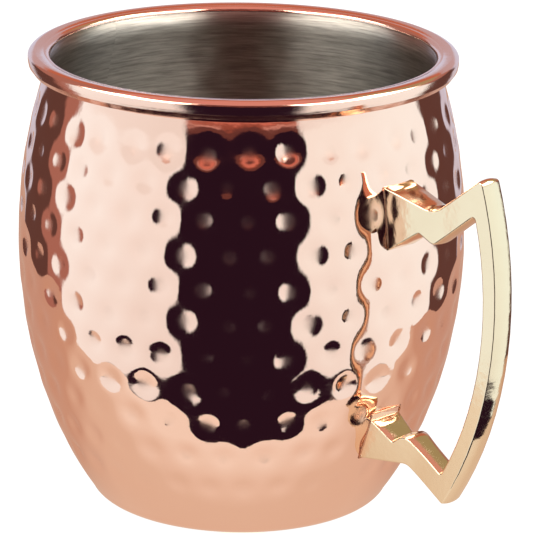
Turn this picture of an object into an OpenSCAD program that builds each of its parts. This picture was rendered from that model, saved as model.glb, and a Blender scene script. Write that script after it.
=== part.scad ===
// Barrel-shaped drinking mug: a rolled-rim copper shell over a steel liner, with a cast
// brass side handle brazed on at two feet.
// The Z axis is the axis of the cup, z = 0 is the plane it stands on, the handle is at +X.

/* [Cup] */
// Overall height, foot ring to crest of the rim
cup_h = 100; // [98:1:115]
// Largest outside radius of the barrel
belly_r = 48.6; // [46:0.2:49.6]
// Height of the largest radius
belly_z = 58; // [54:1:62]
// Vertical half axis of the ellipse that the barrel wall follows
barrel_b = 76; // [74:1:80]
// Outside radius of the wall just below the rim
neck_r = 42.7; // [42:0.1:43]
// Radius of the rounded corner between wall and base
base_corner_r = 4; // [3:0.5:5]
// Depth of the shallow recess under the base
base_recess = 1; // [0.6:0.1:1.2]
// Radius of that recess
base_recess_r = 24; // [15:0.5:26]

/* [Sheet metal] */
// Thickness of the copper shell
shell_t = 0.7; // [0.5:0.1:1]
// Thickness of the steel liner
liner_t = 0.6; // [0.4:0.1:0.8]
// Radius of the round section of the rolled rim
rim_r = 2.74; // [2.5:0.02:3.2]
// Radius of the inner shoulder of the rim, down to the steel
rim_shoulder_r = 2; // [1.6:0.1:2.4]
// Gap where the rolled edge comes back to the wall
rim_gap = 0.4; // [0.2:0.1:0.6]

/* [Handle] */
// Farthest reach of the handle from the cup's axis
handle_reach = 76.6; // [75:0.1:82]
// Thickness of the bow at its middle, measured outwards
bow_t = 3.4; // [2.6:0.1:4.6]
// Width of the handle across, between its flat sides
handle_w = 5.3; // [4.6:0.1:7]
// Width of the feet where they meet the cup
foot_w = 8.6; // [7.6:0.1:10]
// Length of the taper between a foot and the plain width
taper_len = 13; // [8:1:15]

/* [Fixings] */
// Thickness of the braze layer under each foot
braze_t = 0.4; // [0.2:0.1:0.6]
// How far the braze shows around each foot
braze_margin = 0.5; // [0.2:0.1:1]
// Diameter of the hidden studs
stud_d = 3; // [2:0.1:3.4]
// Depth of the blind sockets in the feet
socket_depth = 5; // [3:0.5:6]
// Clearance of the stud holes in the shell and the braze, on the diameter
stud_clearance = 0.2; // [0.1:0.05:0.5]

/* [Hidden] */

// Facets of the round sections and of the revolved walls
round_fn = 96;
// Steps along the curved wall, from base corner to neck
wall_steps = 22;
// Steps around the base corner
corner_steps = 5;
// Steps around each rounded corner of the handle
blend_steps = 6;
// Larger than the whole object, for cutting blocks
beyond = 120;

// Centre of the rim's round section
rim_centre = [neck_r + rim_shoulder_r - shell_t - liner_t, cup_h - rim_r];
// Height at which the copper closes over the top edge of the liner
lip_z = cup_h - rim_shoulder_r;
// Radius of the mouth
mouth_r = neck_r - shell_t - liner_t;

// Circles of the outer and the inner face of the bow, in the XZ plane
bow_out_centre = [-5.4, 57.7];
bow_out_r = handle_reach - bow_out_centre[0];
bow_in_centre = [1, 57];
bow_in_r = handle_reach - bow_t - bow_in_centre[0];

// Slopes of the two arms, in degrees from the horizontal
upper_arm_slope = 37.5;
lower_arm_slope = -31.5;
// Bends of the arms: the valley in the top edge, the elbow in the bottom edge
valley = [59, 76];
elbow = [53.6, 20];
// Outlines of the arms as [x, z, corner radius], from foot top to foot bottom
upper_arm = [
    [45, 79.6, 0],
    [valley[0], valley[1], 5],
    [76, along(valley, upper_arm_slope, 76), 0],
    [73, along([59.3, 69.2], upper_arm_slope + 1, 73), 0],
    [59.3, 69.2, 1.5],
    [55.6, 71.1, 0.3],
    [46, 64.4, 0]
];
lower_arm = [
    [40, 30.6, 0],
    [50, 24.1, 0.3],
    [52.9, 26.5, 3],
    [66, along([52.9, 26.5], lower_arm_slope, 66), 0],
    [66, along(elbow, lower_arm_slope, 66), 0],
    [elbow[0], elbow[1], 3],
    [38, 18, 0]
];

// Heights of the feet on the wall, bottom and top
upper_foot_z = [65.8, 79.1];
lower_foot_z = [18.2, 28.6];
// Heights of the stud axes
upper_stud_z = 72.5;
lower_stud_z = 22.2;

// Height on the line through p at the given slope, at x
function along(p, slope, x) = p[1] + (x - p[0]) * tan(slope);

// Radius of the barrel wall at height z, for a surface at depth d inside the outer one
function wall_r(d, z) =
    (belly_r - d) * sqrt(1 - pow((z - belly_z) / (barrel_b - d), 2));

// Height at which that surface reaches the straight neck
function neck_z(d) =
    belly_z + (barrel_b - d) * sqrt(1 - pow((neck_r - d) / (belly_r - d), 2));

// Angle of the wall's outward normal below the horizontal, at depth d and height z
function wall_lean(d, z) =
    atan2((belly_z - z) / pow(barrel_b - d, 2), wall_r(d, z) / pow(belly_r - d, 2));

// Rounded corner from a floor at floor_z into the wall at depth d
function corner_arc(d, floor_z, r) =
    let (z = floor_z + r, centre_r = wall_r(d + r, z), lean = wall_lean(d + r, z))
    [for (i = [0:corner_steps])
        let (a = 90 + (lean - 90) * i / corner_steps)
        [centre_r + r * cos(a), z - r * sin(a)]];

// Curved wall at depth d from height z0 up to the neck
function wall_curve(d, z0) =
    let (z1 = neck_z(d))
    [for (i = [1:wall_steps])
        let (z = z0 + (z1 - z0) * i / wall_steps)
        [wall_r(d, z), z]];

// Half section of a cup surface at depth d: floor edge, corner, wall, neck up to top_z
function cup_curve(d, floor_z, r, top_z) =
    let (arc = corner_arc(d, floor_z, r))
    concat(arc, wall_curve(d, arc[corner_steps][1]), [[neck_r - d, top_z]]);

function reversed(list) = [for (i = [len(list) - 1:-1:0]) list[i]];

// The outer surface and the surface between shell and liner, floor excluded
outer_curve = cup_curve(0, 0, base_corner_r, lip_z);
liner_floor_z = base_recess + shell_t;
between_curve = cup_curve(shell_t, liner_floor_z, base_corner_r - shell_t, lip_z);
inner_curve = cup_curve(shell_t + liner_t, liner_floor_z + liner_t,
                        base_corner_r - shell_t - liner_t, lip_z);

// Unit vector from a to b
function towards(a, b) = (b - a) / norm(b - a);

// Points of a corner at p rounded to radius r, between neighbours a and b
function rounded_corner(a, p, b, r) =
    let (
        u = towards(p, a),
        v = towards(p, b),
        half = acos(u * v) / 2,
        centre = p + towards([0, 0], u + v) * r / sin(half),
        t0 = p + u * r / tan(half) - centre,
        t1 = p + v * r / tan(half) - centre,
        a0 = atan2(t0[1], t0[0]),
        turn = atan2(t0[0] * t1[1] - t0[1] * t1[0], t0 * t1)
    )
    [for (i = [0:blend_steps])
        centre + r * [cos(a0 + turn * i / blend_steps), sin(a0 + turn * i / blend_steps)]];

function flat(p) = [p[0], p[1]];

// Outline through the points [x, z, r], with each corner rounded to its own r
function rounded_outline(points) =
    let (n = len(points))
    [for (i = [0:n - 1])
        let (p = points[i], a = points[(i + n - 1) % n], b = points[(i + 1) % n])
        each p[2] > 0 ? rounded_corner(flat(a), flat(p), flat(b), p[2]) : [flat(p)]];

// Solid that fills the cup out to its outer surface grown by g
module filled_cup(g) {
    curve = cup_curve(-g, -g, base_corner_r, lip_z);
    rotate_extrude($fn = round_fn)
        polygon(concat([[0, lip_z], [0, -g]], curve));
}

// Round section of the rolled rim, with its inner shoulder
module rim_section() {
    wall_x = neck_r - shell_t;
    difference() {
        union() {
            intersection() {
                translate(rim_centre) circle(r = rim_r, $fn = round_fn);
                union() {
                    translate(rim_centre - [0, rim_r]) square(2 * rim_r);
                    translate([wall_x, rim_centre[1] - rim_r]) square([rim_r, rim_r]);
                }
            }
            translate([wall_x, rim_centre[1]])
                square([rim_centre[0] - wall_x, lip_z - rim_centre[1]]);
            intersection() {
                translate([rim_centre[0], lip_z]) circle(r = rim_shoulder_r, $fn = round_fn);
                translate([mouth_r, lip_z]) square(rim_shoulder_r);
            }
        }
        intersection() {
            translate(rim_centre) circle(r = rim_r - shell_t, $fn = round_fn);
            translate([neck_r, lip_z - 2 * rim_r]) square(4 * rim_r);
        }
        translate([neck_r, lip_z - 2 * rim_r])
            square([rim_gap, rim_centre[1] - lip_z + 2 * rim_r]);
    }
}

// Stud hole or stud, along X from inside the wall to depth past the foot's face
module stud_rod(z, d, depth) {
    start = wall_r(0, z) - 4;
    translate([start, 0, z])
        rotate([0, 90, 0]) cylinder(d = d, h = wall_r(0, z) + depth - start, $fn = 48);
}

// Copper shell: hammered barrel with a recessed base and a rolled rim
module copper_shell() {
    color("#d08a68")
    difference() {
        rotate_extrude($fn = round_fn) union() {
            polygon(concat(
                [[0, base_recess], [base_recess_r, base_recess],
                 [base_recess_r + base_recess, 0]],
                outer_curve,
                reversed(between_curve),
                [[0, liner_floor_z]]
            ));
            rim_section();
        }
        stud_rod(upper_stud_z, stud_d + stud_clearance, 1);
        stud_rod(lower_stud_z, stud_d + stud_clearance, 1);
    }
}

// Steel liner: drawn cup nested in the shell, its top edge held under the rim's lip
module steel_liner() {
    color("#c9c5bd")
    rotate_extrude($fn = round_fn)
        polygon(concat(
            [[0, liner_floor_z]],
            between_curve,
            reversed(inner_curve),
            [[0, liner_floor_z + liner_t]]
        ));
}

// Side outline of the handle: a bow between two arms
module handle_outline() {
    intersection() {
        translate(bow_out_centre) circle(r = bow_out_r, $fn = 2 * round_fn);
        union() {
            difference() {
                polygon([
                    valley,
                    [beyond, along(valley, upper_arm_slope, beyond)],
                    [beyond, along(elbow, lower_arm_slope, beyond)],
                    elbow
                ]);
                translate(bow_in_centre) circle(r = bow_in_r, $fn = 2 * round_fn);
            }
            polygon(rounded_outline(upper_arm));
            polygon(rounded_outline(lower_arm));
        }
    }
}

module handle_slab(w) {
    rotate([90, 0, 0]) linear_extrude(height = w, center = true) handle_outline();
}

// Wedge around one foot, square to the wall and widest there, ending inside the handle
module foot_wedge(foot_z) {
    mid = (foot_z[0] + foot_z[1]) / 2;
    over = 2;
    slope = (foot_w - handle_w) / 2 / taper_len;
    wide = foot_w / 2 + slope * over;
    narrow = handle_w / 2 - slope * over;
    height = 2 * (foot_z[1] - foot_z[0]);
    translate([wall_r(0, mid), 0, mid])
        rotate([0, wall_lean(0, mid), 0])
            linear_extrude(height = height, center = true)
                polygon([
                    [-over, -wide],
                    [taper_len + over, -narrow],
                    [taper_len + over, narrow],
                    [-over, wide]
                ]);
}

// Brass handle, cut to the curve of the wall and the braze, with two blind sockets
module handle() {
    color("#e6cf94")
    difference() {
        union() {
            handle_slab(handle_w);
            for (foot_z = [upper_foot_z, lower_foot_z])
                intersection() {
                    handle_slab(2 * foot_w);
                    foot_wedge(foot_z);
                }
        }
        filled_cup(braze_t);
        stud_rod(upper_stud_z, stud_d, socket_depth);
        stud_rod(lower_stud_z, stud_d, socket_depth);
    }
}

// Steel stud standing on the liner, through the shell and into a foot's socket
module stud(z) {
    color("#b8b8b8")
    difference() {
        stud_rod(z, stud_d, socket_depth);
        rotate_extrude($fn = round_fn)
            polygon(concat([[0, lip_z], [0, liner_floor_z]], between_curve));
    }
}

module upper_stud() {
    stud(upper_stud_z);
}

module lower_stud() {
    stud(lower_stud_z);
}

// Braze layer between the wall and one foot, with a margin around the foot
module braze(foot_z, stud_z) {
    w = foot_w + 2 * braze_margin;
    h = foot_z[1] - foot_z[0] + 2 * braze_margin;
    color("#b9714a")
    difference() {
        intersection() {
            filled_cup(braze_t);
            translate([0, -w / 2, foot_z[0] - braze_margin]) cube([beyond, w, h]);
        }
        filled_cup(0);
        stud_rod(stud_z, stud_d + stud_clearance, 2);
    }
}

module upper_braze() {
    braze(upper_foot_z, upper_stud_z);
}

module lower_braze() {
    braze(lower_foot_z, lower_stud_z);
}

copper_shell();
steel_liner();
handle();
upper_stud();
lower_stud();
upper_braze();
lower_braze();
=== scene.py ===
"""Looks of the hammered copper mug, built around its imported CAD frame."""

import math

import bmesh
import bpy
import numpy as np
from mathutils import Matrix, Vector, noise
from mathutils.geometry import delaunay_2d_cdt


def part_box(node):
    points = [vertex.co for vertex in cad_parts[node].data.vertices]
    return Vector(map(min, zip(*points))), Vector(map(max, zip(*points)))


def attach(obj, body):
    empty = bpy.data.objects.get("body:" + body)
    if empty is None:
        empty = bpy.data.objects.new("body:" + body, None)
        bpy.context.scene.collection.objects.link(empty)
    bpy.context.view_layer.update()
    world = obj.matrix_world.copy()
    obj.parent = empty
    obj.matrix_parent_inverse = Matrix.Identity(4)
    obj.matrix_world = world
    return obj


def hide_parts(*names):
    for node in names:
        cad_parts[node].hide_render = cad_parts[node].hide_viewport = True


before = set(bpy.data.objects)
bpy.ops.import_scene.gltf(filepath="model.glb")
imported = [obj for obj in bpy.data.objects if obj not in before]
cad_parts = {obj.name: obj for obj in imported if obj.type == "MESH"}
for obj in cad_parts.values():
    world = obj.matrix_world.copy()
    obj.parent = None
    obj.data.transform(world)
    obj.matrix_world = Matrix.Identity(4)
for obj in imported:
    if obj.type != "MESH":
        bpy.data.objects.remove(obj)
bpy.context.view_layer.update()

# All sizes below are in millimetres and degrees; meshes are turned into metres as they are made.
MM = 0.001

# Cup, from the frame: largest radius, and top of the steel under the rim's lip
BELLY_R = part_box("copper_shell")[1].y / MM
LIP_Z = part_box("steel_liner")[1].z / MM
# Ellipse of the barrel wall: height of the belly and vertical half axis
BELLY_Z = 58.0
BARREL_B = 76.0
# Outside radius of the wall just below the rim
NECK_R = 42.7
# Sheet metal and base
SHELL_T = 0.7
LINER_T = 0.6
LINER_FLOOR_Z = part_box("steel_liner")[0].z / MM
BASE_CORNER_R = 4.0
BASE_RECESS = LINER_FLOOR_Z - SHELL_T
BASE_RECESS_R = 24.0
# Rolled rim: inside of the mouth, outside of the roll, gap where the roll comes back to the wall
MOUTH_R = NECK_R - SHELL_T - LINER_T
RIM_OUT_R = 46.2
RIM_GAP = 0.4

# Hammering: staggered rows of round dimples, wider apart towards the base. The core is the
# share of a dimple's depth in its narrow middle, and PRESSED names the depth stored on the mesh.
DIMPLES_PER_ROW = 34
TOP_ROW_Z = 88.0
ROW_PITCH = 6.8
ROW_PITCH_GROWTH = 0.14
DIMPLE_ROWS = 11
DIMPLE_PHASE = 2.2
DIMPLE_RADIUS = 3.6
DIMPLE_DEPTH = 0.42
DIMPLE_CORE = 0.55
DIMPLE_SEED = 7
# Spread of the dimples: sideways as a share of their spacing, up and down in millimetres, and the
# smallest and largest share of the radius and the depth
SIDE_SPREAD = 0.08
HEIGHT_SPREAD = 0.5
RADIUS_SPREAD = (0.9, 1.08)
DEPTH_SPREAD = (0.8, 1.15)
PRESSED = "pressed"

# Handle, from the frame: reach, half width of the feet
HANDLE_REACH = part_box("handle")[1].x / MM
FOOT_HALF_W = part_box("handle")[1].y / MM
HANDLE_HALF_W = 2.65
# Bow: centres (x, z) of its outer and inner arcs, thickness at its middle
BOW_OUT = (-5.4, 57.7)
BOW_IN = (1.0, 57.0)
BOW_T = 3.4
# Slopes of the arms where they meet the bow, in degrees
UPPER_SLOPE = 37.5
LOWER_SLOPE = -31.5
# Corners (x, z) of the arms, then the points inside the cup that their edges run to
VALLEY = (59.0, 76.0)
TOOTH = (59.3, 69.2)
UPPER_STEP = (55.6, 71.1)
LOWER_STEP = (50.0, 24.1)
LEDGE = (52.9, 26.5)
ELBOW = (53.6, 20.0)
UPPER_FOOT_TOP = (45.0, 79.6)
UPPER_FOOT_BOTTOM = (46.0, 64.4)
LOWER_FOOT_TOP = (40.0, 30.6)
LOWER_FOOT_BOTTOM = (38.0, 18.0)
# Heights between which each foot's braze bead runs
UPPER_BEAD_Z = (66.4, 79.0)
LOWER_BEAD_Z = (18.3, 29.2)

# The camera's place around the cup, as azimuth and elevation, and its lens
CAMERA_AZIMUTH = 45.7
CAMERA_ELEVATION = 17.414
CAMERA_DISTANCE = 700.0
CAMERA_ASIDE = 5.53
CAMERA_AIM_Z = 50.41
CAMERA_ROLL = 0.766
CAMERA_LENS = 215.9
CAMERA_SENSOR = 36.0


# ---------------------------------------------------------------- cup surface

def wall_r(z, depth=0.0):
    """Radius of the barrel wall at height z, depth inside the outer surface."""
    u = (z - BELLY_Z) / (BARREL_B - depth)
    return (BELLY_R - depth) * np.sqrt(1 - u * u)


def neck_z(depth=0.0):
    """Height at which that surface meets the straight neck."""
    ratio = (NECK_R - depth) / (BELLY_R - depth)
    return BELLY_Z + (BARREL_B - depth) * math.sqrt(1 - ratio ** 2)


def wall_lean(z, depth=0.0):
    """Angle of the outward normal below the horizontal, in radians."""
    rise = (BELLY_Z - z) / (BARREL_B - depth) ** 2
    return math.atan2(rise, wall_r(z, depth) / (BELLY_R - depth) ** 2)


def corner_arc(depth, floor_z, radius, steps):
    """Points (r, z) of the rounded corner between base and wall."""
    z = floor_z + radius
    centre_r = wall_r(z, depth + radius)
    angles = np.linspace(math.pi / 2, wall_lean(z, depth + radius), steps + 1)
    return [(centre_r + radius * math.cos(a), z - radius * math.sin(a)) for a in angles]


def wall_points(depth, z_start, steps):
    """Points up the wall from z_start to the neck, without the first."""
    heights = np.linspace(z_start, neck_z(depth), steps + 1)[1:]
    return [(float(wall_r(z, depth)), float(z)) for z in heights]


def arc_points(centre, radius, start, end, steps):
    """Points on an arc from angle start to end, in degrees, both included."""
    angles = np.radians(np.linspace(start, end, steps + 1))
    return [(centre[0] + radius * math.cos(a), centre[1] + radius * math.sin(a)) for a in angles]


# ---------------------------------------------------------------- hammering

def dimple_field():
    """Centres of the dimples as rows (angle in radians, z, radius, depth), jittered."""
    rng = np.random.default_rng(DIMPLE_SEED)
    step = 2 * math.pi / DIMPLES_PER_ROW
    dimples = []
    z = TOP_ROW_Z
    for row in range(DIMPLE_ROWS):
        phase = math.radians(CAMERA_AZIMUTH + DIMPLE_PHASE) + (row % 2) * step / 2
        for k in range(DIMPLES_PER_ROW):
            angle = phase + k * step + rng.uniform(-SIDE_SPREAD, SIDE_SPREAD) * step
            height = z + rng.uniform(-HEIGHT_SPREAD, HEIGHT_SPREAD)
            radius = DIMPLE_RADIUS * rng.uniform(*RADIUS_SPREAD)
            depth = DIMPLE_DEPTH * rng.uniform(*DEPTH_SPREAD)
            dimples.append((angle, height, radius, depth))
        z -= ROW_PITCH + ROW_PITCH_GROWTH * row
    return dimples


def hammered(angles, heights, dimples):
    """Depth of the hammering on the grid heights x angles."""
    depth = np.zeros((len(heights), len(angles)))
    reach = 2.0 * DIMPLE_RADIUS
    for angle, z, radius, full in dimples:
        rows = np.where(np.abs(heights - z) < reach)[0]
        around = (angles - angle + math.pi) % (2 * math.pi) - math.pi
        cols = np.where(np.abs(around) * wall_r(z) < reach)[0]
        if len(rows) == 0 or len(cols) == 0:
            continue
        up = (heights[rows] - z) / math.cos(wall_lean(z))
        side = around[cols] * wall_r(z)
        rho = np.hypot(up[:, None], side[None, :]) / radius
        depth[np.ix_(rows, cols)] += full * dimple_shape(rho)
    return depth


def dimple_shape(rho):
    """Profile of one dimple, from 1 at its centre to 0: a flat core in a wide shallow bowl."""
    bowl = np.exp(-(rho / 0.9) ** 3.2)
    core = np.exp(-(rho / 0.55) ** 2.6)
    return (1 - DIMPLE_CORE) * bowl + DIMPLE_CORE * core


# ---------------------------------------------------------------- mesh helpers

def ring_angles(columns):
    """Angles of the columns of a revolved mesh."""
    return np.arange(columns) * 2 * math.pi / columns


def direction(angles):
    """Horizontal unit vectors at azimuth angles, 0 towards -Y and 90 degrees towards +X."""
    return np.stack([np.sin(angles), -np.cos(angles)], axis=-1)


class RingMesh:
    """A closed mesh round the cup's axis, grown ring by ring."""

    def __init__(self):
        self.points = []
        self.pressed = []
        self.faces = []
        self.first = None
        self.last = None

    def add_ring(self, r, z, pressed=0.0):
        """Adds a ring: r and z have one value per column, pressed one value or as many."""
        self.pressed.append(np.broadcast_to(pressed, len(r)))
        start = sum(len(p) for p in self.points)
        xy = direction(ring_angles(len(r))) * r[:, None]
        self.points.append(np.column_stack([xy, z]))
        ring = np.arange(start, start + len(r))
        if self.last is not None:
            self.join(self.last, ring)
        self.last = ring

    def add_profile(self, points, columns):
        """Adds a round ring at each (r, z)."""
        for r, z in points:
            self.add_ring(np.full(columns, float(r)), np.full(columns, float(z)))

    def join(self, low, high):
        """Faces between two rings, whose column counts may differ by a whole factor."""
        if len(low) == len(high):
            ahead_low = np.roll(low, -1)
            ahead_high = np.roll(high, -1)
            self.faces += np.column_stack([low, ahead_low, ahead_high, high]).tolist()
            return
        fine, coarse = (low, high) if len(low) > len(high) else (high, low)
        share = len(fine) // len(coarse)
        for i in range(len(coarse)):
            fan = [fine[(i * share + k) % len(fine)] for k in range(share + 1)]
            ends = [coarse[(i + 1) % len(coarse)], coarse[i]]
            face = [int(v) for v in fan + ends]
            self.faces.append(face if fine is low else face[::-1])

    def cap(self, z, at_start):
        """Closes the mesh with a fan to a point on the axis."""
        ring = self.first if at_start else self.last
        centre = sum(len(p) for p in self.points)
        self.points.append(np.array([[0.0, 0.0, z]]))
        self.pressed.append(np.zeros(1))
        for a, b in zip(ring, np.roll(ring, -1)):
            self.faces.append([centre, int(b), int(a)] if at_start else [int(a), int(b), centre])

    def mark_first(self):
        """Remembers the current ring as the first one."""
        self.first = self.last

    def make(self, name):
        """The finished object, in metres, with how far each point is pressed in, 0 to 1."""
        piece = mesh_object(name, np.vstack(self.points), self.faces)
        layer = piece.data.attributes.new(PRESSED, "FLOAT", "POINT")
        layer.data.foreach_set("value", np.clip(np.concatenate(self.pressed), 0, 1))
        return piece


def mesh_object(name, points, faces, smooth=True):
    """A mesh object from points in millimetres."""
    mesh = bpy.data.meshes.new(name)
    mesh.from_pydata((np.asarray(points) * MM).tolist(), [], faces)
    mesh.update()
    mesh.polygons.foreach_set("use_smooth", [smooth] * len(mesh.polygons))
    piece = bpy.data.objects.new(name, mesh)
    bpy.context.scene.collection.objects.link(piece)
    return piece


# ---------------------------------------------------------------- copper shell

FINE_COLUMNS = 512
RIM_COLUMNS = 256
COARSE_COLUMNS = 128
WALL_ROWS = 130
# Radius of the innermost ring of the hidden floor, where shell and liner meet
FLOOR_R = 12.0
# Rounded edges of the base recess and of the foot ring beside it
RECESS_EDGE_R = 0.5
FOOT_RING_OFFSET = 1.3


def build_shell(dimples):
    """Hammered barrel, rolled rim and recessed base as one closed sheet."""
    ring = RingMesh()
    recess = [(r, BASE_RECESS) for r in (8.0, 16.0, 22.0)]
    edge = RECESS_EDGE_R
    lip = arc_points((BASE_RECESS_R, BASE_RECESS - edge), edge, 90, 45, 3)
    toe = arc_points((BASE_RECESS_R + FOOT_RING_OFFSET, edge), edge, 225, 270, 3)
    ring.add_profile(recess[:1], COARSE_COLUMNS)
    ring.mark_first()
    ring.add_profile(recess[1:] + lip + toe, COARSE_COLUMNS)
    corner = corner_arc(0.0, 0.0, BASE_CORNER_R, 8)
    ring.add_profile(corner, FINE_COLUMNS)
    add_hammered_wall(ring, corner[-1][1], dimples)
    ring.add_profile(rolled_rim(), RIM_COLUMNS)
    ring.add_profile(shell_inside(), COARSE_COLUMNS)
    ring.cap(LINER_FLOOR_Z, at_start=False)
    ring.cap(BASE_RECESS, at_start=True)
    return ring.make("hammered_shell")


def add_hammered_wall(ring, z_start, dimples):
    """The outer wall with its dimples pressed in along the wall's own normal."""
    angles = ring_angles(FINE_COLUMNS)
    heights = np.linspace(z_start, neck_z(), WALL_ROWS + 1)[1:]
    pressed = hammered(angles, heights, dimples)
    for z, depth in zip(heights, pressed):
        lean = wall_lean(z)
        r = wall_r(z) - depth * math.cos(lean)
        ring.add_ring(r, z + depth * math.sin(lean), depth / DIMPLE_DEPTH)


def ellipse_points(centre, half, start, end, steps):
    """Points on an upright ellipse from angle start to end, in degrees, both included."""
    angles = np.radians(np.linspace(start, end, steps + 1))
    return [(centre[0] + half[0] * math.cos(a), centre[1] + half[1] * math.sin(a))
            for a in angles]


def blunt_points(centre, half, steps):
    """Points from the outer side of a blunt quarter ellipse up to its top."""
    angles = np.radians(np.linspace(0, 90, steps + 1))
    return [(centre[0] + half[0] * abs(math.cos(a)) ** 1.25,
             centre[1] + half[1] * math.sin(a) ** 1.25) for a in angles]


# Rolled rim, from below: height of its underside, then (radius, height) of the toe of the roll, the
# facet and the crease above it and its face, and the height that its crown is built on
RIM_UNDER_Z = 95.6
RIM_TOE = (RIM_OUT_R - 1.22, 95.5)
RIM_FACET = (RIM_OUT_R - 0.2, 96.42)
RIM_CREASE = (RIM_OUT_R - 0.28, 96.5)
RIM_FACE = [(RIM_OUT_R - 0.11, 96.8), (RIM_OUT_R - 0.04, 97.1), (RIM_OUT_R - 0.01, 97.4)]
CROWN_Z = LIP_Z - 0.1


def rolled_rim():
    """Points from the wall under the roll, up its face and over its top to the lip."""
    back_r = NECK_R + RIM_GAP
    neck = [(wall_r(z), z) for z in np.linspace(neck_z() + 0.3, LIP_Z - 2.2, 6)]
    fold = [(NECK_R + 0.1, LIP_Z - 0.6), (back_r, LIP_Z - 0.8)]
    under = arc_points((back_r + 0.4, RIM_UNDER_Z), 0.4, 180, 272, 5)
    toe = arc_points(RIM_TOE, 0.3, -88, -36, 5)
    crease = arc_points(RIM_CREASE, 0.12, -32, -8, 2)
    top = blunt_points((RIM_OUT_R - 1.5, CROWN_Z + 0.35), (1.5, 1.1), 22)
    land = [(MOUTH_R + 2.4, CROWN_Z + 1.35), (MOUTH_R + 1.5, CROWN_Z + 1.2)]
    corner = ellipse_points((MOUTH_R + 1.25, CROWN_Z), (1.25, 1.16), 82, 180, 12)
    roll = neck + fold + under + toe + [RIM_FACET] + crease + RIM_FACE + top + land + corner
    return roll + [(NECK_R - SHELL_T, LIP_Z - 0.02)]


def shell_inside():
    """Hidden side of the sheet, against the liner, from the lip down to the floor."""
    corner = corner_arc(SHELL_T, LINER_FLOOR_Z, BASE_CORNER_R - SHELL_T, 4)
    wall = wall_points(SHELL_T, corner[-1][1], 20)
    return wall[::-1] + corner[::-1] + [(FLOOR_R, LINER_FLOOR_Z)]


# ---------------------------------------------------------------- steel liner

LINER_COLUMNS = 360
LINER_ROWS = 100
# Share of the hammering that shows inside, and the hidden gap between liner and shell
LINER_SHOWS = 0.22
LINER_GAP = 0.02


def build_liner(dimples):
    """Drawn steel cup; the hammering shows through as faint bumps."""
    ring = RingMesh()
    depth = SHELL_T + LINER_T
    gap = LINER_GAP
    floor_z = LINER_FLOOR_Z + LINER_T
    outer_corner = corner_arc(SHELL_T + gap, LINER_FLOOR_Z + gap, BASE_CORNER_R - SHELL_T, 4)
    outer = outer_corner + wall_points(SHELL_T + gap, outer_corner[-1][1], 18)
    ring.add_profile([(FLOOR_R, LINER_FLOOR_Z + gap)], LINER_COLUMNS // 4)
    ring.mark_first()
    ring.add_profile(outer, LINER_COLUMNS // 4)
    top = [(NECK_R - SHELL_T - gap, LIP_Z - gap), (NECK_R - depth, LIP_Z - gap)]
    ring.add_profile(top, LINER_COLUMNS)
    corner = corner_arc(depth, floor_z, BASE_CORNER_R - depth, 6)
    angles = ring_angles(LINER_COLUMNS)
    ring.add_profile([(NECK_R - depth, neck_z(depth) + 1.0)], LINER_COLUMNS)
    heights = np.linspace(neck_z(depth), corner[-1][1], LINER_ROWS)
    pressed = hammered(angles, heights, dimples) * LINER_SHOWS
    for z, press in zip(heights, pressed):
        lean = wall_lean(z, depth)
        ring.add_ring(wall_r(z, depth) - press * math.cos(lean), z + press * math.sin(lean))
    ring.add_profile(corner[::-1][1:], LINER_COLUMNS)
    ring.add_profile([(r, floor_z) for r in (20.0, 10.0, 3.0)], LINER_COLUMNS)
    ring.cap(floor_z, at_start=False)
    ring.cap(LINER_FLOOR_Z + gap, at_start=True)
    return ring.make("spun_liner")


# ---------------------------------------------------------------- handle

# Spacing of the points along the outline and inside the flat sides, and how far those inside keep
# from the outline
OUTLINE_STEP = 0.55
SIDE_STEP = 0.9
SIDE_CLEAR = 0.5
# Rounded bevel, the flat rim beside it, and how far the edges swell outwards at their middle
BEVEL = 0.3
BEVEL_STEPS = 3
SIDE_RIM = 0.1
CROWN = 0.35
EDGE_STEPS = 8
# Taper into the feet, how softly it starts, and how deep the feet sink into the wall
TAPER_LEN = 13.0
TAPER_BLEND = 1.0
FOOT_SINK = 0.3


def line_meets_circle(p, slope, centre, radius):
    """The outer point where a line through p meets a circle."""
    d = Vector((math.cos(math.radians(slope)), math.sin(math.radians(slope))))
    o = Vector(p) - Vector(centre)
    half = o.dot(d)
    t = -half + math.sqrt(half * half - o.length_squared + radius * radius)
    return tuple(Vector(p) + d * t)


def line_meets_wall(p, q):
    """Where the line from q towards p, inside the cup, meets the sunken foot surface."""
    inside = Vector(p)
    outside = Vector(q)
    for _ in range(40):
        middle = (inside + outside) / 2
        if middle.x < wall_r(middle.y) - FOOT_SINK:
            inside = middle
        else:
            outside = middle
    return tuple(outside)


def bow_arc(centre, radius, start, end, steps):
    """Points between two points of an arc of the bow, both included."""
    a0 = math.degrees(math.atan2(start[1] - centre[1], start[0] - centre[0]))
    a1 = math.degrees(math.atan2(end[1] - centre[1], end[0] - centre[0]))
    return arc_points(centre, radius, a0, a1, steps)


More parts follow.
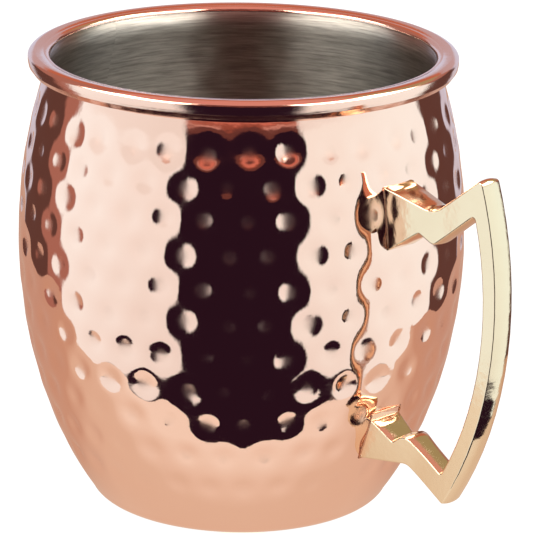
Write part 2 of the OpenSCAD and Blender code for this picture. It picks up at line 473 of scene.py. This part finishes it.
def handle_corners():
    """Outline of the handle in the XZ plane as (x, z, corner radius), clockwise."""
    out_r = HANDLE_REACH - BOW_OUT[0]
    in_r = HANDLE_REACH - BOW_T - BOW_IN[0]
    top = line_meets_circle(VALLEY, UPPER_SLOPE, BOW_OUT, out_r)
    foot = line_meets_circle(ELBOW, LOWER_SLOPE, BOW_OUT, out_r)
    top_in = line_meets_circle(TOOTH, UPPER_SLOPE + 1, BOW_IN, in_r)
    foot_in = line_meets_circle(LEDGE, LOWER_SLOPE, BOW_IN, in_r)
    outer = bow_arc(BOW_OUT, out_r, top, foot, 16)
    inner = bow_arc(BOW_IN, in_r, foot_in, top_in, 14)
    corners = [(*line_meets_wall(UPPER_FOOT_TOP, VALLEY), 0.0), (*VALLEY, 5.0)]
    corners += [(*top, 0.9)] + [(*p, 0.0) for p in outer[1:-1]] + [(*foot, 0.6)]
    corners += [(*ELBOW, 3.0), (*line_meets_wall(LOWER_FOOT_BOTTOM, ELBOW), 0.0)]
    corners += [(*line_meets_wall(LOWER_FOOT_TOP, LOWER_STEP), 0.0), (*LOWER_STEP, 0.5)]
    corners += [(*LEDGE, 3.0), (*foot_in, 0.6)]
    corners += [(*p, 0.0) for p in inner[1:-1]] + [(*top_in, 0.6)]
    corners += [(*TOOTH, 1.5), (*UPPER_STEP, 0.5)]
    corners += [(*line_meets_wall(UPPER_FOOT_BOTTOM, UPPER_STEP), 0.0)]
    return corners


def rounded(corners, steps=5):
    """The outline with each corner rounded to its own radius."""
    points = []
    count = len(corners)
    for i, (x, z, radius) in enumerate(corners):
        p = Vector((x, z))
        if radius == 0:
            points.append(p)
            continue
        back = (Vector(corners[i - 1][:2]) - p).normalized()
        ahead = (Vector(corners[(i + 1) % count][:2]) - p).normalized()
        half = back.angle(ahead) / 2
        centre = p + (back + ahead).normalized() * radius / math.sin(half)
        first = p + back * radius / math.tan(half) - centre
        last = p + ahead * radius / math.tan(half) - centre
        turn = first.angle_signed(last)
        for k in range(steps + 1):
            points.append(centre + first @ Matrix.Rotation(turn * k / steps, 2))
    return points


def resampled(points):
    """The outline with long stretches divided to about OUTLINE_STEP."""
    dense = []
    for p, q in zip(points, points[1:] + points[:1]):
        parts = max(1, round((q - p).length / OUTLINE_STEP))
        dense += [p.lerp(q, k / parts) for k in range(parts)]
    return dense


def outward_normals(outline):
    """Unit normals of a clockwise outline, one per point."""
    normals = []
    count = len(outline)
    for i in range(count):
        edge = (outline[(i + 1) % count] - outline[i - 1]).normalized()
        normals.append(Vector((-edge.y, edge.x)))
    return normals


def foot_distance(x, z):
    """Distance of a point from the wall, square to it."""
    return (x - wall_r(z)) * math.cos(wall_lean(z))


def half_width(x, z):
    """Half the handle's width: plain along the bow, widening evenly into the feet."""
    slope = (FOOT_HALF_W - HANDLE_HALF_W) / TAPER_LEN
    left = (TAPER_LEN - foot_distance(x, z)) / TAPER_BLEND
    return HANDLE_HALF_W + slope * TAPER_BLEND * math.log1p(math.exp(min(40.0, left)))


def seated(x, y, z):
    """A handle point, its foot end curved to lie on the round wall."""
    near = max(0.0, 1 - max(0.0, foot_distance(x, z)) / 3)
    return (x - near * y * y / (2 * wall_r(z)), y, z)


def build_handle():
    """Cast brass handle: flat sides, small bevels and slightly crowned edges."""
    outline = resampled(rounded(handle_corners()))
    normals = outward_normals(outline)
    points = []
    faces = []
    strips = handle_strips(outline, normals)
    for strip in strips:
        points += strip
    count = len(outline)
    for s in range(len(strips) - 1):
        for i in range(count):
            j = (i + 1) % count
            a, b = s * count, (s + 1) * count
            faces.append([a + i, a + j, b + j, b + i])
    for strip, side in ((0, 1), (len(strips) - 1, -1)):
        add_side(points, faces, outline, normals, strip * count, side)
    return mesh_object("cast_handle", points, faces)


def handle_strips(outline, normals):
    """Rows of points across the handle's edge, from the +Y side to the -Y side."""
    strips = []
    for side in (1, -1):
        rows = [(BEVEL + SIDE_RIM, 0.0)]
        for k in range(BEVEL_STEPS + 1):
            turn = math.pi / 2 * k / BEVEL_STEPS
            rows.append((BEVEL * (1 - math.sin(turn)), BEVEL * (1 - math.cos(turn))))
        rows = rows if side == 1 else rows[::-1]
        bevel = [[edge_point(p, n, inset, side, drop) for p, n in zip(outline, normals)]
                 for inset, drop in rows]
        if side == 1:
            strips += bevel
            strips += [crown_row(outline, normals, 1 - 2 * k / EDGE_STEPS)
                       for k in range(1, EDGE_STEPS)]
        else:
            strips += bevel
    return strips


def edge_point(p, n, inset, side, drop):
    """A point of the bevel: inset from the outline and dropped below the flat side."""
    q = p - n * inset
    return seated(q.x, side * (half_width(q.x, q.y) - drop), q.y)


def crown_row(outline, normals, share):
    """A row across the edge at share of the half width, swelling outwards."""
    row = []
    for p, n in zip(outline, normals):
        reach = half_width(p.x, p.y) - BEVEL
        swell = CROWN * (1 - share * share) * min(1.0, max(0.0, foot_distance(p.x, p.y) - 1.0))
        q = p + n * swell
        row.append(seated(q.x, reach * share, q.y))
    return row


def add_side(points, faces, outline, normals, ring_start, side):
    """Fills one side of the handle with even triangles, so that it can widen into the feet."""
    border = [p - n * (BEVEL + SIDE_RIM) for p, n in zip(outline, normals)]
    lows = [min(p[i] for p in border) for i in (0, 1)]
    highs = [max(p[i] for p in border) for i in (0, 1)]
    grid = [Vector((x, z)) for x in np.arange(lows[0], highs[0], SIDE_STEP)
            for z in np.arange(lows[1], highs[1], SIDE_STEP)]
    inner = [p for p in grid if inside(p, border) and clear_of(p, border, SIDE_CLEAR)]
    count = len(border)
    loop = list(range(count))
    edges = list(zip(loop, loop[1:] + loop[:1]))
    verts, _, tris, origin, _, _ = delaunay_2d_cdt(border + inner, edges, [loop], 1, 1e-6)
    index = {}
    for i, v in enumerate(verts):
        source = origin[i][0] if origin[i] else None
        if source is not None and source < count:
            index[i] = ring_start + source
        else:
            index[i] = len(points)
            points.append(seated(v.x, side * half_width(v.x, v.y), v.y))
    for tri in tris:
        a, b, c = (verts[i] for i in tri)
        clockwise = (b - a).cross(c - a) < 0
        face = [index[i] for i in tri]
        faces.append(face if clockwise == (side == 1) else face[::-1])


def inside(p, loop):
    """Whether a point lies inside a closed outline."""
    hit = False
    for a, b in zip(loop, loop[1:] + loop[:1]):
        if (a.y > p.y) != (b.y > p.y):
            if p.x < a.x + (p.y - a.y) / (b.y - a.y) * (b.x - a.x):
                hit = not hit
    return hit


def clear_of(p, loop, gap):
    """Whether a point keeps that distance from every point of an outline."""
    return all((p - q).length > gap for q in loop)


# ---------------------------------------------------------------- braze

BEAD_R = 0.2
BEAD_SIDES = 8
BEAD_POINTS = 72


def foot_rim(heights):
    """Points round a foot where its sides meet the wall, as (y, z)."""
    low, high = heights
    around = []
    for k in range(BEAD_POINTS):
        a = 2 * math.pi * k / BEAD_POINTS
        y = math.cos(a)
        z = math.sin(a)
        grow = max(abs(y), abs(z))
        around.append((y / grow, z / grow))
    middle = (low + high) / 2
    return [(y * FOOT_HALF_W, middle + z * (high - low) / 2) for y, z in around]


def build_bead(name, heights, seed):
    """Irregular bead of braze metal round a foot, lying on the wall."""
    rim = foot_rim(heights)
    points = []
    faces = []
    count = len(rim)
    for i, (y, z) in enumerate(rim):
        y0, z0 = rim[i - 1]
        y1, z1 = rim[(i + 1) % count]
        along_rim = Vector((y1 - y0, z1 - z0)).normalized()
        r = wall_r(z)
        out = Vector((math.sqrt(r * r - y * y), y, 0)).normalized()
        across = Vector((0, along_rim.y, -along_rim.x))
        wobble = noise.noise(Vector((y * 0.9, z * 0.9, seed)))
        size = BEAD_R * (1 + 0.5 * wobble)
        base = Vector((math.sqrt(r * r - y * y), y, z))
        for k in range(BEAD_SIDES):
            a = 2 * math.pi * k / BEAD_SIDES
            points.append(base + out * size * math.cos(a) + across * size * math.sin(a))
    for i in range(count):
        for k in range(BEAD_SIDES):
            a = i * BEAD_SIDES
            b = (i + 1) % count * BEAD_SIDES
            m = (k + 1) % BEAD_SIDES
            faces.append([a + k, b + k, b + m, a + m])
    return mesh_object(name, [tuple(p) for p in points], faces)


def fix_normals(piece):
    """Turns all faces of a closed piece outwards."""
    bm = bmesh.new()
    bm.from_mesh(piece.data)
    bmesh.ops.recalc_face_normals(bm, faces=bm.faces)
    bm.to_mesh(piece.data)
    bm.free()


# ---------------------------------------------------------------- materials

def new_material(name):
    """An empty node material: its node tree, its Principled shader and itself."""
    material = bpy.data.materials.new(name)
    material.use_nodes = True
    tree = material.node_tree
    shader = next(n for n in tree.nodes if n.type == "BSDF_PRINCIPLED")
    return tree, shader, material


def add(tree, kind, **settings):
    """A node with its properties and default inputs set."""
    node = tree.nodes.new(kind)
    for key, value in settings.items():
        if key in node.inputs.keys():
            node.inputs[key].default_value = value
        else:
            setattr(node, key, value)
    return node


def object_coordinates(tree):
    """Object coordinates, in metres."""
    return add(tree, "ShaderNodeTexCoord").outputs["Object"]


def separated(tree, vector):
    """The node that splits a vector into X, Y and Z."""
    split = add(tree, "ShaderNodeSeparateXYZ")
    tree.links.new(vector, split.inputs["Vector"])
    return split


def noise_value(tree, vector, scale, detail=3.0, roughness=0.5):
    """A grey noise from 0 to 1."""
    node = add(tree, "ShaderNodeTexNoise")
    node.inputs["Scale"].default_value = scale
    node.inputs["Detail"].default_value = detail
    node.inputs["Roughness"].default_value = roughness
    tree.links.new(vector, node.inputs["Vector"])
    return node.outputs["Fac"]


def mapped(tree, value, low, high, from_low=0.0, from_high=1.0):
    """A value mapped to the range low to high."""
    node = add(tree, "ShaderNodeMapRange")
    node.inputs["From Min"].default_value = from_low
    node.inputs["From Max"].default_value = from_high
    node.inputs["To Min"].default_value = low
    node.inputs["To Max"].default_value = high
    tree.links.new(value, node.inputs["Value"])
    return node.outputs["Result"]


def mixed(tree, value, first, second):
    """A colour between first and second, by value."""
    node = add(tree, "ShaderNodeMix", data_type="RGBA")
    node.inputs[6].default_value = (*first, 1.0)
    node.inputs[7].default_value = (*second, 1.0)
    tree.links.new(value, node.inputs[0])
    return node.outputs[2]


def bumped(tree, shader, height, distance, strength=1.0):
    """Bump on the shader from a height value, distance in metres."""
    node = add(tree, "ShaderNodeBump")
    node.inputs["Distance"].default_value = distance
    node.inputs["Strength"].default_value = strength
    tree.links.new(height, node.inputs["Height"])
    tree.links.new(node.outputs["Normal"], shader.inputs["Normal"])


def arithmetic(tree, operation, first, second):
    """A math operation on two sockets."""
    node = add(tree, "ShaderNodeMath", operation=operation)
    tree.links.new(first, node.inputs[0])
    tree.links.new(second, node.inputs[1])
    return node.outputs["Value"]


def spun_lines(tree, split, pitch, around):
    """Fine lines around the cup's axis, as a value from 0 to 1."""
    angle = arithmetic(tree, "ARCTAN2", split.outputs["Y"], split.outputs["X"])
    slow = add(tree, "ShaderNodeMath", operation="MULTIPLY")
    slow.inputs[1].default_value = around
    tree.links.new(angle, slow.inputs[0])
    flat = add(tree, "ShaderNodeCombineXYZ")
    tree.links.new(split.outputs["X"], flat.inputs["X"])
    tree.links.new(split.outputs["Y"], flat.inputs["Y"])
    radius = add(tree, "ShaderNodeVectorMath", operation="LENGTH")
    tree.links.new(flat.outputs["Vector"], radius.inputs[0])
    along_wall = arithmetic(tree, "ADD", split.outputs["Z"], radius.outputs["Value"])
    wrap = add(tree, "ShaderNodeCombineXYZ")
    tree.links.new(slow.outputs["Value"], wrap.inputs["X"])
    tree.links.new(along_wall, wrap.inputs["Z"])
    return noise_value(tree, wrap.outputs["Vector"], pitch, detail=5.0, roughness=0.65)


# Heights between which the copper's polish changes from the wall's to the rim's, in metres, and
# what the rim and the middle of a dimple add to its roughness
RIM_STARTS = 0.0942
RIM_FULL = 0.0952
RIM_DULLER = 0.05
DIMPLE_DULLER = 0.17


def copper_material():
    """Polished, lacquered copper, with fine spun lines on the rolled rim."""
    tree, shader, material = new_material("hammered_copper")
    shader.inputs["Metallic"].default_value = 1.0
    where = object_coordinates(tree)
    tone = noise_value(tree, where, 60.0)
    colour = mixed(tree, tone, (0.93, 0.63, 0.52), (0.95, 0.665, 0.555))
    tree.links.new(colour, shader.inputs["Base Color"])
    split = separated(tree, where)
    rim = mapped(tree, split.outputs["Z"], 0.0, 1.0, RIM_STARTS, RIM_FULL)
    smear = noise_value(tree, where, 180.0, detail=4.0)
    wall_rough = mapped(tree, smear, 0.03, 0.08, 0.3, 0.7)
    rim_rough = mapped(tree, rim, 0.0, RIM_DULLER)
    dimples = add(tree, "ShaderNodeAttribute", attribute_name=PRESSED)
    core_rough = mapped(tree, dimples.outputs["Fac"], 0.0, DIMPLE_DULLER, 0.5, 0.95)
    rough = arithmetic(tree, "ADD", wall_rough, rim_rough)
    rough = arithmetic(tree, "ADD", rough, core_rough)
    tree.links.new(rough, shader.inputs["Roughness"])
    ripple = noise_value(tree, where, 420.0, detail=2.0)
    lines = arithmetic(tree, "MULTIPLY", spun_lines(tree, split, 2600.0, 0.003), rim)
    relief = arithmetic(tree, "ADD", ripple, lines)
    bumped(tree, shader, relief, 0.00002)
    return material


def steel_material():
    """Spun stainless steel with fine lines around the cup."""
    tree, shader, material = new_material("spun_steel")
    shader.inputs["Metallic"].default_value = 1.0
    shader.inputs["Anisotropic"].default_value = 0.95
    shader.inputs["Anisotropic Rotation"].default_value = 0.25
    where = object_coordinates(tree)
    lines = spun_lines(tree, separated(tree, where), 2000.0, 0.0022)
    bright = mapped(tree, lines, 0.0, 1.0, 0.36, 0.64)
    colour = mixed(tree, bright, (0.30, 0.29, 0.27), (0.54, 0.52, 0.49))
    tree.links.new(colour, shader.inputs["Base Color"])
    cloud = noise_value(tree, where, 45.0)
    rough = mapped(tree, cloud, 0.34, 0.42, 0.3, 0.7)
    tree.links.new(rough, shader.inputs["Roughness"])
    bumped(tree, shader, lines, 0.00005)
    tangent = add(tree, "ShaderNodeTangent", direction_type="RADIAL", axis="Z")
    tree.links.new(tangent.outputs["Tangent"], shader.inputs["Tangent"])
    return material


def brass_material():
    """Polished pale brass casting."""
    tree, shader, material = new_material("cast_brass")
    shader.inputs["Metallic"].default_value = 1.0
    where = object_coordinates(tree)
    tone = noise_value(tree, where, 90.0)
    colour = mixed(tree, tone, (0.85, 0.675, 0.475), (0.89, 0.72, 0.52))
    tree.links.new(colour, shader.inputs["Base Color"])
    smear = noise_value(tree, where, 260.0, detail=4.0)
    rough = mapped(tree, smear, 0.07, 0.15, 0.3, 0.7)
    tree.links.new(rough, shader.inputs["Roughness"])
    pits = noise_value(tree, where, 650.0, detail=3.0)
    bumped(tree, shader, pits, 0.00004)
    return material


def braze_material():
    """Braze metal: reddish, a little dull and uneven."""
    tree, shader, material = new_material("braze_metal")
    shader.inputs["Metallic"].default_value = 1.0
    where = object_coordinates(tree)
    tone = noise_value(tree, where, 500.0)
    colour = mixed(tree, tone, (0.45, 0.17, 0.09), (0.85, 0.52, 0.36))
    tree.links.new(colour, shader.inputs["Base Color"])
    rough = mapped(tree, tone, 0.15, 0.35)
    tree.links.new(rough, shader.inputs["Roughness"])
    grain = noise_value(tree, where, 900.0)
    bumped(tree, shader, grain, 0.0001)
    return material


def stud_material():
    """Plain turned steel of the hidden studs."""
    tree, shader, material = new_material("stud_steel")
    shader.inputs["Metallic"].default_value = 1.0
    where = object_coordinates(tree)
    tone = noise_value(tree, where, 700.0)
    colour = mixed(tree, tone, (0.5, 0.5, 0.5), (0.62, 0.61, 0.6))
    tree.links.new(colour, shader.inputs["Base Color"])
    rough = mapped(tree, tone, 0.3, 0.45)
    tree.links.new(rough, shader.inputs["Roughness"])
    return material


# ---------------------------------------------------------------- studio

# Tones of the studio
GLARE = (6.5, 6.0, 5.3)
BRIGHT_L = (1.06, 1.25, 1.32)
WHITE_L = (1.0, 1.08, 1.1)
SOFT_L = (0.93, 0.97, 0.97)
BRIGHT_R = (1.05, 1.24, 1.28)
WHITE_R = (1.02, 1.14, 1.15)
SOFT_R = (0.95, 1.0, 1.0)
OLIVE = (0.41, 0.33, 0.18)
BLACK = (0.022, 0.008, 0.018)
BROWN = (0.15, 0.052, 0.044)
UMBER = (0.32, 0.09, 0.06)
EMBER = (0.66, 0.21, 0.15)
PINK = (0.72, 0.36, 0.30)
DUSK = (0.125, 0.06, 0.05)
CLAY = (0.42, 0.19, 0.15)
RUST = (0.54, 0.175, 0.10)
SALMON = (0.73, 0.33, 0.28)
GREY = (0.62, 0.57, 0.55)
PALE = (0.66, 0.69, 0.86)
MAUVE = (0.56, 0.43, 0.46)
TAN = (0.78, 0.56, 0.48)

# Azimuths from the camera where one tone of a ring gives way to the next, and over how much
SECTOR_EDGES = (
    (-147, 1.5), (-117, 1.5), (-103, 1.5), (-70, 26), (-32.5, 1.5), (-12, 1.5), (12, 1.5),
    (32.5, 1.5), (70, 28), (116, 1.5), (148, 1.5),
)

# Rings of the studio: elevation, then tones behind, of the outer and inner left strip, of the
# left side far and near, beside the front, in front, beside the front, of the right side near
# and far, and of its strip
RINGS = (
    (-36.5, GREY, DUSK, DUSK, BLACK, BLACK, BLACK, BLACK, BLACK, BLACK, BLACK, DUSK),
    (-35, GREY, DUSK, CLAY, WHITE_L, SOFT_L, BLACK, BLACK, BLACK, SOFT_R, WHITE_R, DUSK),
    (0, PALE, DUSK, CLAY, BRIGHT_L, WHITE_L, BLACK, BLACK, BLACK, WHITE_R, BRIGHT_R, DUSK),
    (9, PALE, DUSK, CLAY, BRIGHT_L, WHITE_L, BLACK, BLACK, BLACK, WHITE_R, BRIGHT_R, DUSK),
    (13, MAUVE, CLAY, CLAY, WHITE_L, SOFT_L, BLACK, BLACK, BLACK, WHITE_R, BRIGHT_R, DUSK),
    (17.1, MAUVE, CLAY, CLAY, WHITE_L, SOFT_L, BLACK, BLACK, BLACK, WHITE_R, WHITE_R, CLAY),
    (17.9, MAUVE, CLAY, CLAY, WHITE_L, SOFT_L, BROWN, BROWN, BROWN, WHITE_R, WHITE_R, CLAY),
    (20.3, MAUVE, CLAY, CLAY, WHITE_L, SOFT_L, BROWN, BROWN, BROWN, SOFT_R, WHITE_R, CLAY),
    (21.3, MAUVE, CLAY, CLAY, WHITE_L, SOFT_L, PINK, UMBER, PINK, SOFT_R, WHITE_R, CLAY),
    (22.3, MAUVE, CLAY, CLAY, WHITE_L, SOFT_L, UMBER, UMBER, UMBER, SOFT_R, WHITE_R, CLAY),
    (23.2, MAUVE, CLAY, CLAY, WHITE_L, SOFT_L, EMBER, EMBER, EMBER, SOFT_R, WHITE_R, CLAY),
    (24.3, MAUVE, CLAY, CLAY, TAN, TAN, EMBER, EMBER, EMBER, TAN, TAN, CLAY),
    (25.2, RUST, CLAY, CLAY, TAN, TAN, EMBER, EMBER, EMBER, TAN, TAN, CLAY),
    (27.5, RUST, CLAY, CLAY, TAN, TAN, BROWN, BROWN, BROWN, TAN, TAN, OLIVE),
    (31, RUST, CLAY, CLAY, GLARE, GLARE, BROWN, BROWN, BROWN, GLARE, GLARE, OLIVE),
    (52, RUST, CLAY, CLAY, GLARE, GLARE, BROWN, BROWN, BROWN, GLARE, GLARE, OLIVE),
    (58, SALMON, SALMON, SALMON, SALMON, SALMON, SALMON, SALMON, SALMON, SALMON, SALMON, OLIVE),
    (66, SALMON, SALMON, SALMON, SALMON, SALMON, SALMON, SALMON, SALMON, SALMON, SALMON, SALMON),
)


def ring_stops(tones):
    """Stops (degrees, tone) once around the studio, with a blend at each edge."""
    stops = [(-180, tones[0])]
    for (edge, blend), before, after in zip(SECTOR_EDGES, tones, tones[1:] + tones[:1]):
        stops.append((edge - blend, before))
        stops.append((edge + blend, after))
    return stops + [(180, tones[0])]


def ring_tone(tree, share, tones):
    """Colour of one ring of the studio by azimuth, share running from 0 to 1."""
    ramp = add(tree, "ShaderNodeValToRGB")
    elements = ramp.color_ramp.elements
    for position, (degrees, tone) in enumerate(tones):
        place = (degrees + 180) / 360
        if position < 2:
            element = elements[position]
            element.position = place
        else:
            element = elements.new(place)
        element.color = (*tone, 1.0)
    tree.links.new(share, ramp.inputs["Fac"])
    return ramp.outputs["Color"]


def studio_angles(tree):
    """Azimuth from the camera as 0 to 1, and elevation in degrees, of a direction."""
    coordinates = add(tree, "ShaderNodeTexCoord")
    turn = add(tree, "ShaderNodeMapping", vector_type="POINT")
    turn.inputs["Rotation"].default_value = (0, 0, -math.radians(CAMERA_AZIMUTH))
    tree.links.new(coordinates.outputs["Generated"], turn.inputs["Vector"])
    split = separated(tree, turn.outputs["Vector"])
    away = add(tree, "ShaderNodeMath", operation="MULTIPLY")
    away.inputs[1].default_value = -1.0
    tree.links.new(split.outputs["Y"], away.inputs[0])
    angle = add(tree, "ShaderNodeMath", operation="ARCTAN2")
    tree.links.new(split.outputs["X"], angle.inputs[0])
    tree.links.new(away.outputs["Value"], angle.inputs[1])
    share = mapped(tree, angle.outputs["Value"], 0.0, 1.0, -math.pi, math.pi)
    rise = add(tree, "ShaderNodeMath", operation="ARCSINE")
    tree.links.new(split.outputs["Z"], rise.inputs[0])
    degrees = add(tree, "ShaderNodeMath", operation="DEGREES")
    tree.links.new(rise.outputs["Value"], degrees.inputs[0])
    return share, degrees.outputs["Value"]


def build_world():
    """Soft studio: pale sides, dark front, two dim strips, reddish ceiling; the camera sees white."""
    world = bpy.data.worlds.new("studio")
    bpy.context.scene.world = world
    world.use_nodes = True
    tree = world.node_tree
    background = next(n for n in tree.nodes if n.type == "BACKGROUND")
    share, degrees = studio_angles(tree)
    low, *tones = RINGS[0]
    colour = ring_tone(tree, share, ring_stops(tones))
    for high, *tones in RINGS[1:]:
        blend = add(tree, "ShaderNodeMix", data_type="RGBA")
        tree.links.new(mapped(tree, degrees, 0.0, 1.0, low, high), blend.inputs[0])
        tree.links.new(colour, blend.inputs[6])
        tree.links.new(ring_tone(tree, share, ring_stops(tones)), blend.inputs[7])
        colour = blend.outputs[2]
        low = high
    rays = add(tree, "ShaderNodeLightPath")
    seen = add(tree, "ShaderNodeMix", data_type="RGBA")
    seen.inputs[7].default_value = (1.0, 1.0, 1.0, 1.0)
    tree.links.new(rays.outputs["Is Camera Ray"], seen.inputs[0])
    tree.links.new(colour, seen.inputs[6])
    tree.links.new(seen.outputs[2], background.inputs["Color"])


def emissive(name, colour, strength, diffuse=0.0):
    """A stage material that glows evenly, with some plain diffuse reflection."""
    tree, shader, material = new_material(name)
    shader.inputs["Base Color"].default_value = (diffuse, diffuse, diffuse, 1.0)
    shader.inputs["Roughness"].default_value = 1.0
    shader.inputs["Specular IOR Level"].default_value = 0.0
    shader.inputs["Emission Color"].default_value = (*colour, 1.0)
    shader.inputs["Emission Strength"].default_value = strength
    return material


# Outline of the reflected table top, (aside, away) from the cup as the camera sees it, and the tones
# of its painted light by distance away: painted shade makes the glow darker and warmer towards and
# behind the cup.
TABLE = (
    (-176, 500), (-176, 60), (-172, 3), (-124, -14), (-95, -36), (-72, -62), (-40, -73),
    (0, -59), (40, -64), (70, -64), (94, -28), (120, -22), (140, -10), (146, 30), (146, 500),
)
TABLE_PAINTED_LIGHT = (
    (-58, (0.96, 0.88, 0.78)),
    (-45, (0.87, 0.73, 0.61)),
    (-38, (0.80, 0.64, 0.51)),
    (-22, (0.78, 0.60, 0.47)),
    (0, (0.63, 0.40, 0.29)),
    (60, (0.60, 0.38, 0.29)),
)


def stage_plane(name, corners, material):
    """A polygon from its corners (x, y, z) in millimetres, in the camera's azimuth."""
    plane = mesh_object(name, corners, [list(range(len(corners)))], smooth=False)
    plane.rotation_euler.z = math.radians(CAMERA_AZIMUTH)
    plane.data.materials.append(material)
    return plane


def painted_table_light_material():
    """Painted light of the table top, a glow that only the metal reflects: painted shade makes it
    dimmer and warmer behind the cup.
    """
    material = emissive("painted_table_light", (1.0, 1.0, 1.0), 1.0)
    tree = material.node_tree
    shader = next(n for n in tree.nodes if n.type == "BSDF_PRINCIPLED")
    split = separated(tree, object_coordinates(tree))
    low = TABLE_PAINTED_LIGHT[0][0]
    high = TABLE_PAINTED_LIGHT[-1][0]
    share = mapped(tree, split.outputs["Y"], 0.0, 1.0, low * MM, high * MM)
    tones = [((away - low) / (high - low) * 360 - 180, tone) for away, tone in TABLE_PAINTED_LIGHT]
    tree.links.new(ring_tone(tree, share, tones), shader.inputs["Emission Color"])
    return material


# Half the floor's side, and the height of the reflected table top, just under the floor
FLOOR_REACH = 6000.0
TABLE_Z = -0.2


def build_stage():
    """Pale floor for the camera, and the table top of painted light, with painted shade near the cup,
    that only the metal reflects.
    """
    far = FLOOR_REACH
    floor_corners = [(-far, -far, 0), (far, -far, 0), (far, far, 0), (-far, far, 0)]
    floor_look = emissive("pale_floor", (1.0, 1.0, 1.0), 1.0, diffuse=0.1)
    floor = stage_plane("floor", floor_corners, floor_look)
    floor.visible_glossy = False
    table = stage_plane("painted_table_reflection", [(x, y, TABLE_Z) for x, y in TABLE], painted_table_light_material())
    table.visible_camera = False
    table.visible_diffuse = False
    table.visible_shadow = False


def build_camera():
    """Camera on the handle's left, a little above the rim, far away with a long lens."""
    azimuth = math.radians(CAMERA_AZIMUTH)
    elevation = math.radians(CAMERA_ELEVATION)
    roll = math.radians(CAMERA_ROLL)
    turned = Matrix.Rotation(azimuth, 3, "Z")
    forward = turned @ Vector((0, math.cos(elevation), -math.sin(elevation)))
    level = turned @ Vector((1, 0, 0))
    upright = level.cross(forward)
    right = level * math.cos(roll) + upright * math.sin(roll)
    up = upright * math.cos(roll) - level * math.sin(roll)
    aim = turned @ Vector((CAMERA_ASIDE, 0, 0)) + Vector((0, 0, CAMERA_AIM_Z))
    data = bpy.data.cameras.new("camera")
    data.lens = CAMERA_LENS
    data.sensor_width = CAMERA_SENSOR
    camera = bpy.data.objects.new("camera", data)
    basis = Matrix((right, up, -forward)).transposed()
    stand = Matrix.Translation((aim - forward * CAMERA_DISTANCE) * MM)
    camera.matrix_world = stand @ basis.to_4x4()
    bpy.context.scene.collection.objects.link(camera)
    bpy.context.scene.camera = camera


# ---------------------------------------------------------------- assembly

def place(piece, node, slot, material):
    """Gives a piece its material and its body, and hides the CAD node that it stands for."""
    piece.data.materials.append(material)
    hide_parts(node)
    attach(piece, "root")


def dress_node(node, material):
    """Gives a carried-over CAD node its material."""
    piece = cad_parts[node]
    piece.data.materials.clear()
    piece.data.materials.append(material)


build_camera()
build_world()
build_stage()

dimples = dimple_field()
shell = build_shell(dimples)
liner = build_liner(dimples)
handle = build_handle()
upper_bead = build_bead("upper_braze_bead", UPPER_BEAD_Z, 1.0)
lower_bead = build_bead("lower_braze_bead", LOWER_BEAD_Z, 5.0)
for piece in (shell, liner, handle, upper_bead, lower_bead):
    fix_normals(piece)

place(shell, "copper_shell", "copper", copper_material())
place(liner, "steel_liner", "steel", steel_material())
place(handle, "handle", "brass", brass_material())
braze = braze_material()
place(upper_bead, "upper_braze", "braze", braze)
place(lower_bead, "lower_braze", "braze", braze)
steel = stud_material()
dress_node("upper_stud", steel)
dress_node("lower_stud", steel)

view = bpy.context.scene.view_settings
view.view_transform = "Standard"
